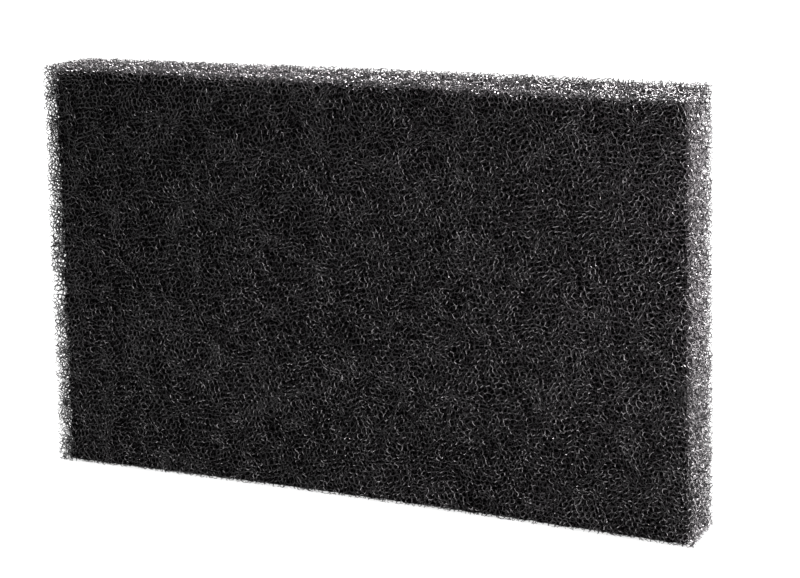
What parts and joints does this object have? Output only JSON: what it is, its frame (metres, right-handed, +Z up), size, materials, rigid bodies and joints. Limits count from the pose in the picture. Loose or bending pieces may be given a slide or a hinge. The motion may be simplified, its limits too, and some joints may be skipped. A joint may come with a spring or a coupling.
{
  "type": "flat foam air filter pad",
  "caption": "Flat rectangular air filter pad of coarse open-cell charcoal foam with square-cut edges, standing on one long edge.",
  "frame": {"origin": "middle of the bottom edge, at the centre of the pad's footprint", "axes": "+X along the pad's length, +Y through its thickness from the front face to the back face, +Z up its height"},
  "size_m": [0.25, 0.025, 0.15],
  "materials": {
    "charcoal_foam": "matte"
  },
  "bodies": {
    "root": {"foam_pad": "charcoal_foam"}
  },
  "joints": []
}
